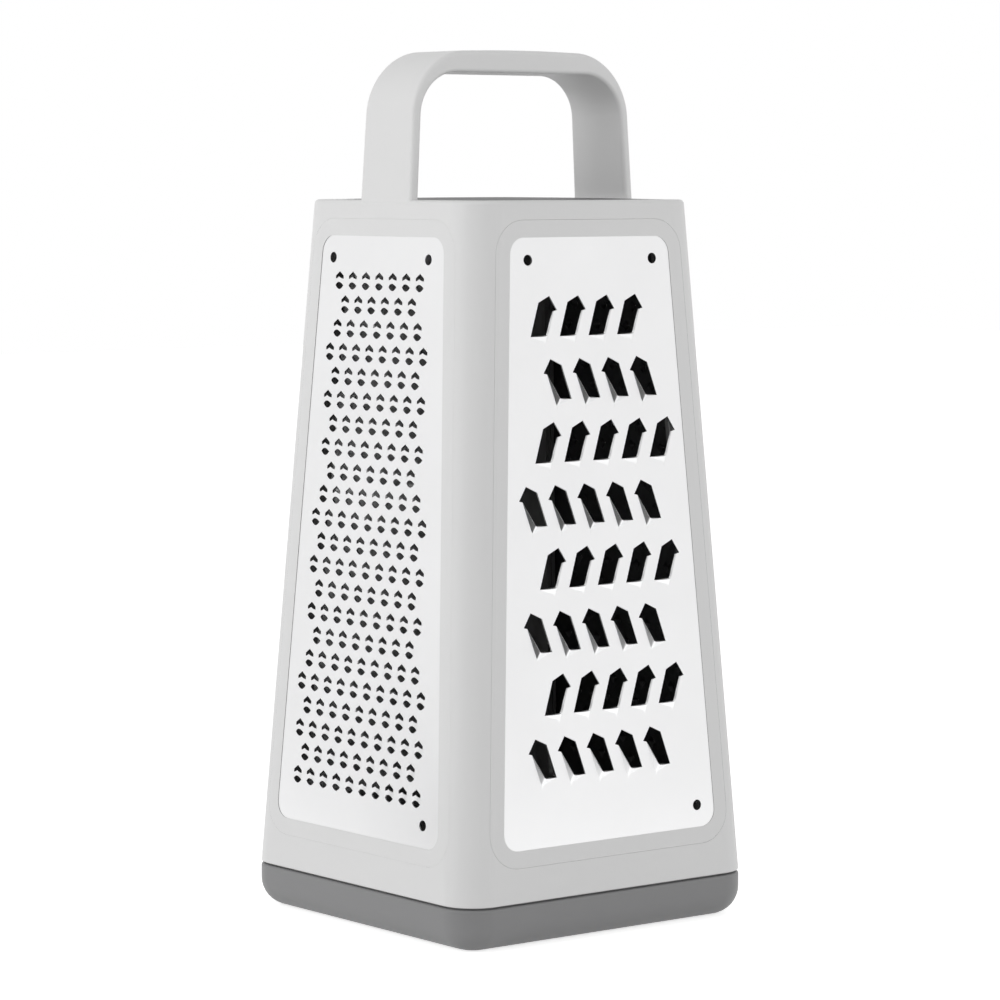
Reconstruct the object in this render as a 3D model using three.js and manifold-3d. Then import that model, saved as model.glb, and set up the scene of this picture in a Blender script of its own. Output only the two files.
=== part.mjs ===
// A four-sided kitchen grater: a tapered plastic frame with an arch handle, four steel plates
// held in bezels, a cover let into the deck, and a shallow tray that the grater stands on.
// Millimetres, +Z up. The origin is the middle of the tray's underside, and the coarse plate
// faces -Y. On a face, u runs to the right seen from outside and s runs up the slope from the
// frame's lower edge.
import * as THREE from 'three';
import { mergeVertices } from 'three/addons/utils/BufferGeometryUtils.js';
import { ConvexGeometry } from 'three/addons/geometries/ConvexGeometry.js';
import Module from 'manifold-3d';

const wasm = await Module();
wasm.setup();

// Clearances
const FIT_GAP = 0.3; // round a piece in its pocket
const SEAT_GAP = 0.3; // between a piece and the seat under it

// Tapered frame
const BODY_BOTTOM = 103.4; // across the flats at the lower edge
const BODY_TOP = 80.2; // across the flats at the deck
const BODY_HEIGHT = 190;
const BODY_CORNER = 10.3;
const WALL = 4;
const DECK = 4;
const DECK_EDGE = 1.2; // rounding of the deck's rim
const FOOT_EDGE = 0.5; // rounding of the lower edge

// Arch handle, across X, moulded with the frame
const HANDLE_RISE = 41.7; // top of the bar above the deck
const HANDLE_WIDTH = 23.6; // at the deck
const HANDLE_TOP_WIDTH = 22.2; // at the top of the bar
const LEG_INSET = 0.15; // the legs lie just inside the plane of the side faces
const LEG_THICK = 3;
const BAR_THICK = 6.5;
const HANDLE_OUTER_BEND = 18.7;
const BAR_DROP = 0.9; // the bar's top falls from its middle to its corners
const BAR_CROWN_BEND = 500;
const HANDLE_INNER_BEND = 12.5;
const HANDLE_EDGE = 1.2;
const EDGE_SHARE = 0.4; // most of a leg's thickness that its edge rounding takes

// Cover let into the deck
const COVER_MARGIN = 5.6; // from the deck's edge
const COVER_THICK = 1.6;
const COVER_CORNER = 5;
const COVER_PROUD = 0.2; // its edge above the deck
const COVER_CROWN = 0.15; // its middle above its edge
const COVER_SLOPE = 15; // from its edge to the level middle

// Plate windows
const WINDOW_SIDE = 12.8; // from the edge of the face to the plate
const WINDOW_TOP = 10; // from the deck to the plate
const WINDOW_BOTTOM = 14.1; // from the lower edge to the plate
const WINDOW_CORNER = 4.8;

// Bezel round each plate
const BEZEL_BAND = 4.4; // visible width
const BEZEL_GROOVE = 0.35; // open joint round the bezel
const BEZEL_THICK = 2.2;
const BEZEL_FLANGE = 3; // behind the plate's rim

// Sheet steel plates
const PLATE_THICK = 0.5;
const PLATE_SINK = 0.1; // plate's face below the bezel's face
const LOCATOR_HOLE = 3; // diameter
const LOCATOR_INSET = 6.2; // hole centre from the window's edge

// Leaning tooth of the coarse plate. The apex points up, and the metal along its lower corner
// is pressed out into a beak. Drops are measured down from the apex.
const TOOTH_WIDTH = 5.5;
const TOOTH_BACK = 3.25; // middle of the tooth to its heel
const TOOTH_LEAN_ANGLE = THREE.MathUtils.degToRad(18.7);
const TOOTH_SHOULDER_DROP = 1.8;
const TOOTH_BARB_REACH = 1.1;
const TOOTH_BARB_DROP = 3.9;
const TOOTH_NOTCH_DROP = 4.2;
const TOOTH_LENGTH = 11.1;
const TOOTH_TOE_DROP = 13;
const BEAK_INSET = 0.9;
const BEAK_HEIGHT = 1.2;
const TOOTH_MARGIN = 2.2; // from a tooth to the window's edge

// Rows of the coarse plate
const COARSE_TOP = 16; // window's top edge to the first apex
const COARSE_LEAD = 15.1; // first apex of a row from the middle
const COARSE_PITCH = 10.2;
const COARSE_ROW_PITCH = 17.2;

// Staggered openings of the fine plate
const FINE_TOP = 12.8; // window's top edge to the first row
const FINE_BOTTOM = 10; // window's bottom edge to the last row, at least
const FINE_SIDE = 7.5; // window's side edge to the end of a row, at least
const FINE_OFFSET = -0.8; // middle of the punched pattern from the plate's middle
const FINE_PITCH = 6.22;
const FINE_ROW_PITCH = 6.69;
const FINE_WIDTH = 3.8;
const FINE_HEIGHT = 4.7;
const FINE_FOOT = 2.2; // width of the opening's lower edge
const FINE_PEAK = 1.7; // drop from the opening's peak to its shoulders

// Staggered burrs of the rasp plate, widths across the corners
const RASP_TOP = 15; // window's top edge to the first row
const RASP_BOTTOM = 11; // window's bottom edge to the last row, at least
const RASP_SIDE = 7; // window's side edge to the end of a row, at least
const RASP_PITCH = 6.6;
const RASP_ROW_PITCH = 5.8;
const BURR_FOOT = 3.7;
const BURR_RIM = 1.7;
const BURR_MOUTH = 1.1; // opening inside the rim
const BURR_RISE = 1.2;
const BURR_OVERCUT = 0.3; // how far the opening's cutter runs past the burr

// Slot of the slicer, with a raised blade below it
const SLICER_TOP = 80; // window's top edge to the blade
const SLICER_SIDE = 8; // window's side edge to the slot
const SLOT_HEIGHT = 6;
const BLADE_RISE = 2.6;
const BLADE_RAMP = 12;

// Tray under the grater
const TRAY_HEIGHT = 12.2;
const SHADOW_GAP = 0.7; // open joint between the tray's rim and the frame
const TRAY_EDGE = 8; // rounding under the edge
const TRAY_RIM = 0.8; // rounding of the rim
const TRAY_SHOULDER = 1.6; // how far the seat lies behind the tray's face
const TRAY_FLOOR = 2.5;
const SPIGOT_RISE = 5; // upstand inside the frame, above the seat
const SPIGOT_GAP = 0.4;
const SPIGOT_THICK = 2;

// Facets on round stretches
const CORNER_STEPS = 6;
const EDGE_STEPS = 3;
const ARC_STEPS = 4;
const BEND_STEPS = 9; // on the handle
const LOCATOR_SIDES = 12;
const THROUGH = 10; // how far a cutter runs past the material

// Slope of the faces
const bodyHalf = (z) => (BODY_BOTTOM - (BODY_BOTTOM - BODY_TOP) * z / BODY_HEIGHT) / 2;
const faceInset = (BODY_BOTTOM - BODY_TOP) / 2;
const tilt = Math.atan2(faceInset, BODY_HEIGHT);
const slant = Math.hypot(faceInset, BODY_HEIGHT);
const faceHalf = (s) => bodyHalf(s * BODY_HEIGHT / slant);

// Levels of the tray's seat and of the frame's lower edge
const bodyLevel = TRAY_HEIGHT + SHADOW_GAP;
const seatLevel = bodyLevel - SEAT_GAP;

// Copy of a geometry with positions only, its shared vertices merged
function merged(geometry) {
  const bare = geometry.clone();
  bare.deleteAttribute('normal');
  bare.deleteAttribute('uv');
  return mergeVertices(bare);
}

// Closed solid from a three.js geometry
function solid(geometry) {
  const skin = merged(geometry);
  return new wasm.Manifold(new wasm.Mesh({
    numProp: 3,
    vertProperties: skin.attributes.position.array,
    triVerts: Uint32Array.from(skin.index.array),
  }));
}

function geometryOf(manifold) {
  const mesh = manifold.getMesh();
  const geometry = new THREE.BufferGeometry();
  geometry.setAttribute('position', new THREE.BufferAttribute(mesh.vertProperties, mesh.numProp));
  geometry.setIndex(new THREE.BufferAttribute(mesh.triVerts, 1));
  return geometry;
}

const joinAll = (solids) => solids.reduce((whole, next) => whole.add(next));

function material(color, roughness, metalness) {
  return new THREE.MeshStandardMaterial({ color, roughness, metalness, flatShading: true });
}

function addPiece(parent, name, geometry, finish) {
  const mesh = new THREE.Mesh(geometry, finish);
  mesh.name = name;
  parent.add(mesh);
}

// Outline through the corners, each rounded by its own radius
function roundedOutline(corners, radii) {
  const shape = new THREE.Shape();
  corners.forEach((corner, i) => {
    const before = corners[(i + corners.length - 1) % corners.length];
    const after = corners[(i + 1) % corners.length];
    const back = before.clone().sub(corner).normalize();
    const ahead = after.clone().sub(corner).normalize();
    const halfAngle = Math.acos(THREE.MathUtils.clamp(back.dot(ahead), -1, 1)) / 2;
    const reach = radii[i] / Math.tan(halfAngle);
    const start = corner.clone().addScaledVector(back, reach);
    if (i === 0) shape.moveTo(start.x, start.y);
    else shape.lineTo(start.x, start.y);
    if (radii[i] > 0) {
      const end = corner.clone().addScaledVector(ahead, reach);
      const inward = back.clone().add(ahead).normalize();
      const centre = corner.clone().addScaledVector(inward, radii[i] / Math.sin(halfAngle));
      const from = start.clone().sub(centre).angle();
      const to = end.clone().sub(centre).angle();
      shape.absarc(centre.x, centre.y, radii[i], from, to, back.cross(ahead) > 0);
    }
  });
  shape.closePath();
  return shape;
}

// Extrusion of an outline between two heights
function prism(shape, low, high) {
  const settings = { depth: high - low, bevelEnabled: false, curveSegments: ARC_STEPS };
  return new THREE.ExtrudeGeometry(shape, settings).translate(0, 0, low);
}

// Level ring of a square with rounded corners
function ring(half, radius, z) {
  const points = [];
  for (let corner = 0; corner < 4; corner++) {
    const middle = (corner + 0.5) * Math.PI / 2;
    const x = Math.sign(Math.cos(middle)) * (half - radius);
    const y = Math.sign(Math.sin(middle)) * (half - radius);
    for (let step = 0; step <= CORNER_STEPS; step++) {
      const angle = (corner + step / CORNER_STEPS) * Math.PI / 2;
      points.push(new THREE.Vector3(x + radius * Math.cos(angle), y + radius * Math.sin(angle), z));
    }
  }
  return points;
}

// Closed skin over a stack of rings, with flat ends
function loft(rings) {
  const count = rings[0].length;
  const triangles = [];
  for (let level = 0; level + 1 < rings.length; level++) {
    for (let i = 0; i < count; i++) {
      const a = level * count + i;
      const b = level * count + (i + 1) % count;
      triangles.push(a, b, b + count, a, b + count, a + count);
    }
  }
  const last = (rings.length - 1) * count;
  for (let i = 1; i + 1 < count; i++) {
    triangles.push(0, i + 1, i);
    triangles.push(last, last + i, last + i + 1);
  }
  const geometry = new THREE.BufferGeometry().setFromPoints(rings.flat());
  geometry.setIndex(triangles);
  return geometry;
}

// Steps round a quarter circle, as [share of the radius across, share of the radius up]
function quarter(steps) {
  const turns = Array.from({ length: steps + 1 }, (_, i) => i / steps * Math.PI / 2);
  return turns.map((turn) => [1 - Math.cos(turn), Math.sin(turn)]);
}

// Window of a face, grown outwards by an offset
const windowBottom = WINDOW_BOTTOM;
const windowTop = slant - WINDOW_TOP;
const windowHalf = (s) => faceHalf(s) - WINDOW_SIDE;

function windowOutline(offset) {
  const low = windowBottom - offset;
  const high = windowTop + offset;
  const lowHalf = windowHalf(low) + offset;
  const highHalf = windowHalf(high) + offset;
  const corners = [
    new THREE.Vector2(-lowHalf, low),
    new THREE.Vector2(lowHalf, low),
    new THREE.Vector2(highHalf, high),
    new THREE.Vector2(-highHalf, high),
  ];
  return roundedOutline(corners, corners.map(() => WINDOW_CORNER + offset));
}

// Depths below a face
const plateFront = -PLATE_SINK;
const plateBack = plateFront - PLATE_THICK;
const flangeFront = plateBack - SEAT_GAP;
const pocketFloor = -BEZEL_THICK - SEAT_GAP;

// Bezel: a ring with a rebate in front for the plate and a flange behind the plate's rim
function bezelGeometry() {
  const blank = solid(prism(windowOutline(BEZEL_BAND), -BEZEL_THICK, 0));
  const rebate = solid(prism(windowOutline(0), flangeFront, THROUGH));
  const opening = solid(prism(windowOutline(-BEZEL_FLANGE), -THROUGH, THROUGH));
  return geometryOf(blank.subtract(rebate).subtract(opening));
}

// Blank of a plate, with two locating holes at the top and one at the foot, all moved across by
// an offset. footSide is 1 for a foot hole on the right and -1 for the left.
function plateOutline(offset = 0, footSide = 1) {
  const shape = windowOutline(-FIT_GAP);
  const high = windowTop - LOCATOR_INSET;
  const low = windowBottom + LOCATOR_INSET;
  const places = [
    [-windowHalf(high) + LOCATOR_INSET, high],
    [windowHalf(high) - LOCATOR_INSET, high],
    [footSide * (windowHalf(low) - LOCATOR_INSET), low],
  ];
  for (const [u, s] of places) {
    const hole = Array.from({ length: LOCATOR_SIDES }, (_, i) => {
      const angle = i / LOCATOR_SIDES * 2 * Math.PI;
      const across = u + offset + LOCATOR_HOLE / 2 * Math.cos(angle);
      return new THREE.Vector2(across, s + LOCATOR_HOLE / 2 * Math.sin(angle));
    });
    shape.holes.push(new THREE.Path(hole));
  }
  return shape;
}

// One leaning tooth with its apex at (u, s). hand is 1 for a lean to the right and -1 for the left.
function tooth(u, s, hand) {
  const point = (x, y) => new THREE.Vector2(u + hand * (x + y * Math.tan(TOOTH_LEAN_ANGLE)), s + y);
  const side = TOOTH_WIDTH / 2;
  const notch = point(side, -TOOTH_NOTCH_DROP);
  const toe = point(side, -TOOTH_TOE_DROP);
  const heel = point(-TOOTH_BACK, -TOOTH_LENGTH);
  const beak = point(side - BEAK_INSET, -TOOTH_LENGTH);
  const opening = new THREE.Shape([
    point(0, 0),
    point(-TOOTH_BACK, -TOOTH_SHOULDER_DROP),
    heel,
    beak,
    notch,
    point(side + TOOTH_BARB_REACH, -TOOTH_BARB_DROP),
  ]);

  // The beak's two walls are a pyramid over the lower corner less the same pyramid moved in
  // by the sheet's thickness.
  const tip = new THREE.Vector3(beak.x, beak.y, plateFront + BEAK_HEIGHT);
  const foot = [notch, toe, heel].map((p) => new THREE.Vector3(p.x, p.y, plateFront));
  const pyramid = (depth) => {
    const grow = (BEAK_HEIGHT + depth) / BEAK_HEIGHT;
    return [tip, ...foot.map((p) => p.clone().sub(tip).multiplyScalar(grow).add(tip))];
  };
  const wallNormal = (a, b) => {
    const normal = new THREE.Plane().setFromCoplanarPoints(a, b, tip).normal;
    return normal.z < 0 ? normal.negate() : normal;
  };
  const flank = wallNormal(foot[0], foot[1]);
  const front = wallNormal(foot[1], foot[2]);
  const inward = flank.clone().add(front).multiplyScalar(-PLATE_THICK / (1 + flank.dot(front)));
  const hollow = pyramid(3 * PLATE_THICK).map((p) => p.clone().add(inward));
  return {
    raised: solid(new ConvexGeometry(pyramid(PLATE_THICK / 2))),
    cuts: [solid(prism(opening, -THROUGH, THROUGH)), solid(new ConvexGeometry(hollow))],
  };
}

// Plate with rows of leaning teeth, each row leaning the other way from the one above it
function coarsePlate() {
  const barb = TOOTH_WIDTH / 2 + TOOTH_BARB_REACH;
  const lean = TOOTH_BARB_DROP * Math.tan(TOOTH_LEAN_ANGLE);
  const teeth = [];
  let hand = 1;
  const lowest = windowBottom + TOOTH_MARGIN + TOOTH_TOE_DROP;
  for (let s = windowTop - COARSE_TOP; s > lowest; s -= COARSE_ROW_PITCH) {
    const end = windowHalf(s) - TOOTH_MARGIN - barb + lean;
    for (let u = -COARSE_LEAD; u <= end; u += COARSE_PITCH) teeth.push(tooth(hand * u, s, hand));
    hand = -hand;
  }
  const blank = solid(prism(plateOutline(), plateBack, plateFront));
  const raised = joinAll([blank, ...teeth.map((each) => each.raised)]);
  return geometryOf(raised.subtract(joinAll(teeth.flatMap((each) => each.cuts))));
}

// Places in staggered rows down a window, with an odd and an even count in turn
function staggered(top, bottom, side, pitch, rowPitch) {
  const places = [];
  let odd = 1;
  for (let s = windowTop - top; s >= windowBottom + bottom; s -= rowPitch) {
    const room = 2 * (windowHalf(s) - side) / pitch + 1;
    const count = 2 * Math.floor((room - odd) / 2) + odd;
    for (let i = 0; i < count; i++) places.push([(i - (count - 1) / 2) * pitch, s]);
    odd = 1 - odd;
  }
  return places;
}

// Plate with small peaked openings
function finePlate() {
  const cuts = staggered(FINE_TOP, FINE_BOTTOM, FINE_SIDE, FINE_PITCH, FINE_ROW_PITCH).map(([across, s]) => {
    const u = across + FINE_OFFSET;
    const peak = s + FINE_HEIGHT / 2;
    const opening = new THREE.Shape([
      new THREE.Vector2(u, peak),
      new THREE.Vector2(u - FINE_WIDTH / 2, peak - FINE_PEAK),
      new THREE.Vector2(u - FINE_FOOT / 2, peak - FINE_HEIGHT),
      new THREE.Vector2(u + FINE_FOOT / 2, peak - FINE_HEIGHT),
      new THREE.Vector2(u + FINE_WIDTH / 2, peak - FINE_PEAK),
    ]);
    return solid(prism(opening, -THROUGH, THROUGH));
  });
  const blank = solid(prism(plateOutline(FINE_OFFSET), plateBack, plateFront));
  return geometryOf(blank.subtract(joinAll(cuts)));
}

// Plate with burrs, each a small four-sided pyramid whose tip the punch has burst open
function raspPlate() {
  const rim = plateFront + BURR_RISE;
  const taper = (BURR_FOOT - BURR_RIM) / BURR_RISE;
  const corners = [0, 1, 2, 3].map((i) => i * Math.PI / 2);
  const square = (u, s, across, n) => corners.map((angle) => new THREE.Vector3(
    u + across / 2 * Math.cos(angle),
    s + across / 2 * Math.sin(angle),
    n,
  ));
  const burrs = [];
  const cuts = [];
  for (const [u, s] of staggered(RASP_TOP, RASP_BOTTOM, RASP_SIDE, RASP_PITCH, RASP_ROW_PITCH)) {
    const mouth = (n) => square(u, s, BURR_MOUTH + taper * (rim - n), n);
    burrs.push(solid(new ConvexGeometry([
      ...square(u, s, BURR_FOOT, plateFront - PLATE_THICK / 2),
      ...square(u, s, BURR_FOOT, plateFront),
      ...square(u, s, BURR_RIM, rim),
    ])));
    cuts.push(solid(new ConvexGeometry([...mouth(plateBack - BURR_OVERCUT), ...mouth(rim + BURR_OVERCUT)])));
  }
  const blank = solid(prism(plateOutline(), plateBack, plateFront));
  return geometryOf(joinAll([blank, ...burrs]).subtract(joinAll(cuts)));
}

// Plate with one wide slot, the sheet below it pressed out into a ramp with a blade at its top
function slicerPlate() {
  const s = windowTop - SLICER_TOP;
  const half = windowHalf(s) - SLICER_SIDE;
  const wedge = (sink, inset) => {
    const foot = s - BLADE_RAMP - sink;
    const points = [[half - inset, s], [half - inset, foot], [inset - half, s], [inset - half, foot]];
    const low = plateFront - sink * BLADE_RISE / BLADE_RAMP;
    const base = points.map(([u, v]) => new THREE.Vector3(u, v, low - PLATE_THICK / 2));
    const crest = [half - inset, inset - half].map((u) => new THREE.Vector3(u, s, plateFront + BLADE_RISE - sink));
    return solid(new ConvexGeometry([...base, ...crest]));
  };
  const slot = new THREE.Shape([
    new THREE.Vector2(-half, s),
    new THREE.Vector2(half, s),
    new THREE.Vector2(half, s + SLOT_HEIGHT),
    new THREE.Vector2(-half, s + SLOT_HEIGHT),
  ]);
  const cuts = [solid(prism(slot, -THROUGH, THROUGH)), wedge(PLATE_THICK, PLATE_THICK)];
  const blank = solid(prism(plateOutline(0, -1), plateBack, plateFront));
  return geometryOf(blank.add(wedge(0, 0)).subtract(joinAll(cuts)));
}

// Frame: the tapered shell and the arch in one moulding, with a pocket for each bezel
function archOutline() {
  const foot = BODY_HEIGHT - DECK / 2;
  const top = BODY_HEIGHT + HANDLE_RISE;
  const under = top - BAR_THICK;
  const outer = (z) => bodyHalf(z) - LEG_INSET;
  const inner = (z) => outer(z) - LEG_THICK;
  const right = [
    [outer(foot), foot, 0],
    [outer(top), top - BAR_DROP, HANDLE_OUTER_BEND],
  ];
  const rightUnder = [
    [inner(under), under, HANDLE_INNER_BEND],
    [inner(foot), foot, 0],
  ];
  const mirrored = (points) => points.map(([x, z, radius]) => [-x, z, radius]).reverse();
  const crown = [0, top, BAR_CROWN_BEND];
  const path = [...right, crown, ...mirrored(right), ...mirrored(rightUnder), ...rightUnder];
  return roundedOutline(path.map(([x, z]) => new THREE.Vector2(x, z)), path.map(([, , radius]) => radius));
}

// Arch, narrowing from the deck to the bar
function archGeometry() {
  const edge = Math.min(HANDLE_EDGE, EDGE_SHARE * LEG_THICK);
  const settings = {
    depth: HANDLE_WIDTH - 2 * edge,
    bevelThickness: edge,
    bevelSize: edge,
    bevelOffset: -edge,
    bevelSegments: EDGE_STEPS,
    curveSegments: BEND_STEPS,
  };
  const straight = new THREE.ExtrudeGeometry(archOutline(), settings);
  straight.translate(0, 0, edge - HANDLE_WIDTH / 2).rotateX(Math.PI / 2);
  const arch = merged(straight);
  const corners = arch.attributes.position;
  for (let i = 0; i < corners.count; i++) {
    const up = (corners.getZ(i) - BODY_HEIGHT) / HANDLE_RISE;
    corners.setY(i, corners.getY(i) * THREE.MathUtils.lerp(1, HANDLE_TOP_WIDTH / HANDLE_WIDTH, up));
  }
  return arch;
}

const coverHalf = BODY_TOP / 2 - COVER_MARGIN;

function frameGeometry(faces) {
  const edges = quarter(EDGE_STEPS);
  const body = (z, inset) => ring(bodyHalf(z) - inset, BODY_CORNER - inset, z);
  const lower = edges.map(([across, up]) => body(FOOT_EDGE * (1 - up), FOOT_EDGE * across)).reverse();
  const upper = edges.map(([across, up]) => body(BODY_HEIGHT - DECK_EDGE * (1 - up), DECK_EDGE * across));
  const shell = solid(loft([...lower, ...upper]));

  const ceiling = BODY_HEIGHT - DECK;
  const inside = (z) => ring(bodyHalf(z) - WALL, BODY_CORNER - WALL, z);
  const hollow = solid(loft([inside(-THROUGH), inside(ceiling)]));
  const coverPocket = solid(loft([
    ring(coverHalf + FIT_GAP, COVER_CORNER + FIT_GAP, BODY_HEIGHT - COVER_THICK - SEAT_GAP),
    ring(coverHalf + FIT_GAP, COVER_CORNER + FIT_GAP, BODY_HEIGHT + DECK_EDGE),
  ]));

  const pocket = prism(windowOutline(BEZEL_BAND + BEZEL_GROOVE), pocketFloor, THROUGH);
  const opening = prism(windowOutline(-BEZEL_FLANGE), -2 * THROUGH, THROUGH);
  const cuts = faces.flatMap((matrix) => [pocket, opening].map((cut) => solid(cut.clone().applyMatrix4(matrix))));
  return geometryOf(shell.add(solid(archGeometry())).subtract(joinAll([hollow, coverPocket, ...cuts])));
}

// Cover: a panel that stands just proud of the deck and rises a little towards its middle
function coverGeometry() {
  const edge = BODY_HEIGHT + COVER_PROUD;
  return loft([
    ring(coverHalf, COVER_CORNER, BODY_HEIGHT - COVER_THICK),
    ring(coverHalf, COVER_CORNER, edge),
    ring(coverHalf - COVER_SLOPE, COVER_CORNER, edge + COVER_CROWN),
  ]);
}

// Tray: round-bottomed pan with a set-back seat for the frame's wall and a spigot inside it
function trayGeometry() {
  const half = BODY_BOTTOM / 2;
  const at = (inset, z) => ring(half - inset, BODY_CORNER - inset, z);
  const spigotTop = seatLevel + SPIGOT_RISE;
  const spigotOuter = half - bodyHalf(spigotTop - bodyLevel) + WALL + SPIGOT_GAP;
  const spigotInner = spigotOuter + SPIGOT_THICK;
  const under = quarter(CORNER_STEPS).map(([across, up]) => at(TRAY_EDGE * across, TRAY_EDGE * (1 - up)));
  const rim = quarter(EDGE_STEPS).map(([across, up]) => at(TRAY_RIM * across, TRAY_HEIGHT - TRAY_RIM * (1 - up)));
  return loft([
    ...under.reverse(),
    ...rim,
    at(TRAY_SHOULDER, TRAY_HEIGHT),
    at(TRAY_SHOULDER, seatLevel),
    at(spigotOuter, seatLevel),
    at(spigotOuter, spigotTop),
    at(spigotInner, spigotTop),
    at(spigotInner, TRAY_FLOOR),
  ]);
}

const whitePlastic = material(0xdcdcdc, 0.5, 0);
const greyPlastic = material(0x7a7a7a, 0.55, 0);
const steel = material(0xd8d8d8, 0.35, 1);

const grater = new THREE.Group();
addPiece(grater, 'base_tray', trayGeometry(), greyPlastic);

const body = new THREE.Group();
body.position.z = bodyLevel;
grater.add(body);

const sides = [
  ['front', 'coarse_plate', 0, coarsePlate()],
  ['right', 'rasp_plate', 1, raspPlate()],
  ['back', 'slicer_plate', 2, slicerPlate()],
  ['left', 'fine_plate', 3, finePlate()],
];
const faces = sides.map(([side, plateName, turns, plate]) => {
  const turned = new THREE.Group();
  turned.rotation.z = turns * Math.PI / 2;
  const face = new THREE.Group();
  face.position.y = -BODY_BOTTOM / 2;
  face.rotation.x = Math.PI / 2 - tilt;
  turned.add(face);
  body.add(turned);
  addPiece(face, `${side}_bezel`, bezelGeometry(), whitePlastic);
  addPiece(face, plateName, plate, steel);
  turned.updateMatrix();
  face.updateMatrix();
  return turned.matrix.clone().multiply(face.matrix);
});
addPiece(body, 'frame', frameGeometry(faces), whitePlastic);
addPiece(body, 'top_cover', coverGeometry(), greyPlastic);

export default grater;
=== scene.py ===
# A four-sided kitchen grater: a tapered white frame with an arch handle, a steel plate held in a
# bezel on each side, a grey cover let into the deck, and a grey tray that the grater stands on.
# Metres, +Z up, the coarse plate towards -Y. Sections follow the way it is put together.
import math

import bmesh
import bpy
from mathutils import Matrix, Vector


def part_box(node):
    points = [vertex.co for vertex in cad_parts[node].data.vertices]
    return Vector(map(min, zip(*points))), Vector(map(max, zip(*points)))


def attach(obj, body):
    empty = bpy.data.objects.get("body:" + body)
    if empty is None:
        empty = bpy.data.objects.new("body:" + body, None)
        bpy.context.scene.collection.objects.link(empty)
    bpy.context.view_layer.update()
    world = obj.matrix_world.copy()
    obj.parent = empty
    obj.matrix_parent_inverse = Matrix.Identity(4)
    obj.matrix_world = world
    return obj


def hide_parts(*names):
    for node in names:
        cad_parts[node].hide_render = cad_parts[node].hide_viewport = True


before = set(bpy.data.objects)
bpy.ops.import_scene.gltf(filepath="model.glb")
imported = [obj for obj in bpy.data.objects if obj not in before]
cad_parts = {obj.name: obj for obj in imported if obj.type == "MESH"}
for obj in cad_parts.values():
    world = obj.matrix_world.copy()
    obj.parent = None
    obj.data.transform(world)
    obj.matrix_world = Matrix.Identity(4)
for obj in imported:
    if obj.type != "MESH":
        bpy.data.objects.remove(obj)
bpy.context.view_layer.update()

# Tray: a shallow pan moulded in soft grey plastic, with a large rounding under its edge. The
# frame's wall rests on a seat set back behind the pan's face, which leaves a dark line between
# the two, and a low upstand inside the wall keeps the grater from sliding off.
MM = 0.001
TINY = 0.001 * MM
TRAY_HEIGHT = 12.2 * MM
TRAY_CORNER = 10.3 * MM
TRAY_UNDER = 8 * MM
TRAY_RIM = 0.8 * MM
TRAY_SHOULDER = 1.6 * MM
SEAT_STEP = 0.4 * MM
UPSTAND_INSET = 4.7 * MM
UPSTAND_RISE = 5 * MM
UPSTAND_THICK = 2 * MM
UPSTAND_EDGE = 0.4 * MM
TRAY_FLOOR = 2.5 * MM
FLOOR_FILLET = 1.5 * MM
CORNER_STEPS = 14
GREY = (0.225, 0.225, 0.228, 1)
GREY_WORN = (0.24, 0.24, 0.243, 1)
GREY_ROUGHNESS = 0.5


def only(piece):
    """Leaves edit mode with nothing but the piece selected."""
    if bpy.context.mode != "OBJECT":
        bpy.ops.object.mode_set(mode="OBJECT")
    bpy.ops.object.select_all(action="DESELECT")
    if piece:
        piece.select_set(True)
        bpy.context.view_layer.objects.active = piece


def start(name, primitive, **settings):
    """Adds a primitive, with all else deselected, and opens it for editing."""
    only(None)
    getattr(bpy.ops.mesh, f"primitive_{primitive}_add")(**settings)
    piece = bpy.context.object
    piece.name = name
    piece.data.name = name
    bpy.ops.object.mode_set(mode="EDIT")
    return piece


def apply_modifier(piece, kind, **settings):
    """Adds a modifier to the piece, sets it and applies it."""
    only(piece)
    bpy.ops.object.modifier_add(type=kind)
    step = piece.modifiers[-1]
    for key, value in settings.items():
        setattr(step, key, value)
    bpy.ops.object.modifier_apply(modifier=step.name)


def pick(piece, kind, test):
    """Selects only the faces, edges or verts of the open piece that pass the test."""
    modes = {"faces": "FACE", "edges": "EDGE", "verts": "VERT"}
    bpy.ops.mesh.select_mode(type=modes[kind])
    bpy.ops.mesh.select_all(action="DESELECT")
    shape = bmesh.from_edit_mesh(piece.data)
    for part in getattr(shape, kind):
        if test(part):
            part.select_set(True)
    bmesh.update_edit_mesh(piece.data)


def at_level(z):
    """Test for a face or an edge that lies level at one height."""
    return lambda part: all(abs(corner.co.z - z) < TINY for corner in part.verts)


def upright(edge):
    return abs(edge.verts[0].co.z - edge.verts[1].co.z) > TINY


def raise_faces(rise):
    """Extrudes the selected faces straight up, or down where rise is negative."""
    bpy.ops.mesh.extrude_region_move(TRANSFORM_OT_translate={"value": (0, 0, rise)})


def smooth(piece, angle=35):
    """Shades the rounded edges smooth while the flats stay flat."""
    only(piece)
    bpy.ops.object.shade_smooth_by_angle(angle=math.radians(angle))
    apply_modifier(piece, "WEIGHTED_NORMAL", keep_sharp=True)


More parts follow.
